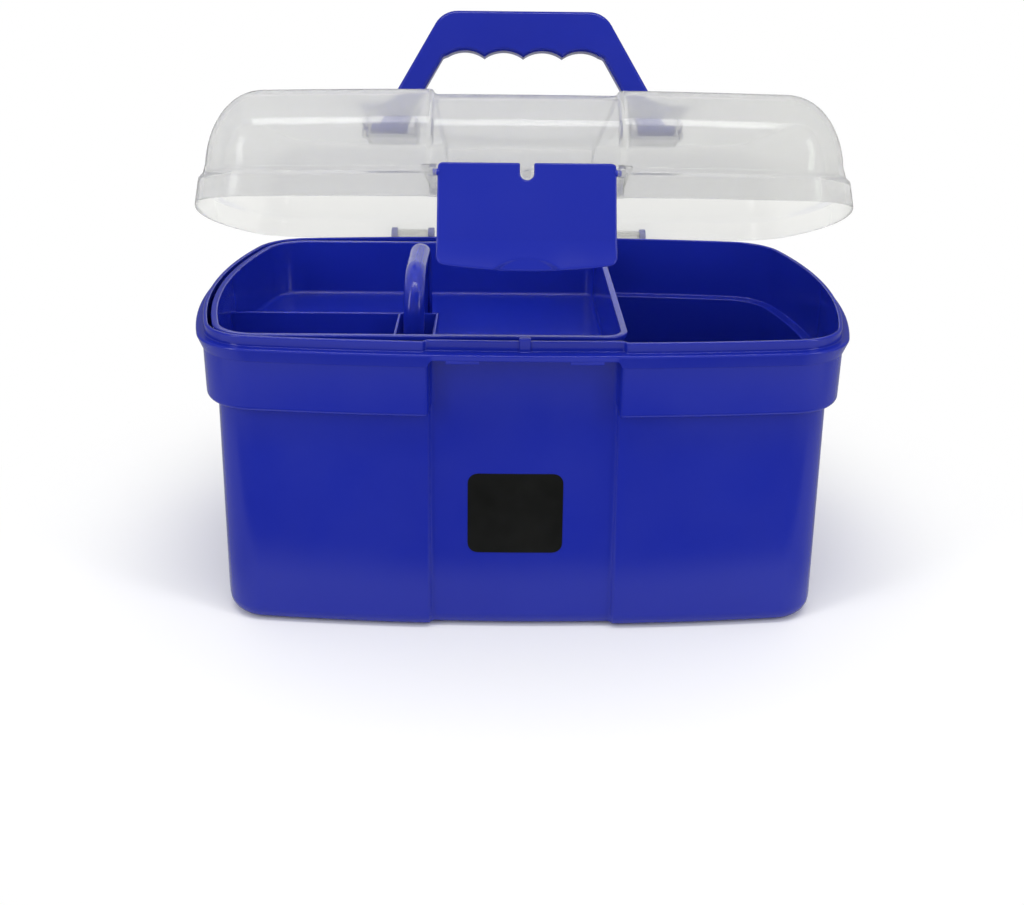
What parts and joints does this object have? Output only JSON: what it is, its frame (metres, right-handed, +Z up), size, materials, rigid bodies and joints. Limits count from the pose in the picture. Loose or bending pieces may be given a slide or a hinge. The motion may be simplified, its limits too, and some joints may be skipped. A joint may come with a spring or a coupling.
{
  "type": "horse grooming box",
  "caption": "Moulded plastic grooming box with a blue tub, lift-out tray with arch handle, frosted hinged lid, swing latch and carry handle",
  "frame": {"origin": "middle of the flat base, on the surface that the box stands on", "axes": "+X to the viewer's right along the box's length, +Y to the back where the hinges are, +Z up"},
  "size_m": [0.34, 0.2247, 0.2964],
  "materials": {
    "blue_plastic": "glossy royal blue moulded polypropylene",
    "frosted_plastic": "frosted see-through moulded polypropylene",
    "label_vinyl": "satin black vinyl label"
  },
  "bodies": {
    "tub": {"tub": "blue_plastic"},
    "tray": {"tray": "blue_plastic"},
    "lid": {"lid": "frosted_plastic"},
    "latch": {"latch": "blue_plastic"},
    "carry_handle": {"carry_handle": "blue_plastic"}
  },
  "joints": [
    {"name": "lid_hinge", "type": "hinge", "parent": "tub", "child": "lid", "pos_m": [0, 0.109, 0.152], "axis": [-1, 0, 0], "range_deg": [-20, 80]},
    {"name": "latch_pivot", "type": "hinge", "parent": "lid", "child": "latch", "pos_m": [0, -0.09077, 0.23205], "axis": [-1, 0, 0], "range_deg": [0, 110]},
    {"name": "handle_fold", "type": "hinge", "parent": "lid", "child": "carry_handle", "pos_m": [0, 0.02279, 0.23382], "axis": [1, 0, 0], "range_deg": [-45, 45]},
    {"name": "tray_slide", "type": "slide", "parent": "tub", "child": "tray", "axis": [1, 0, 0], "range_m": [0, 0.094]}
  ]
}
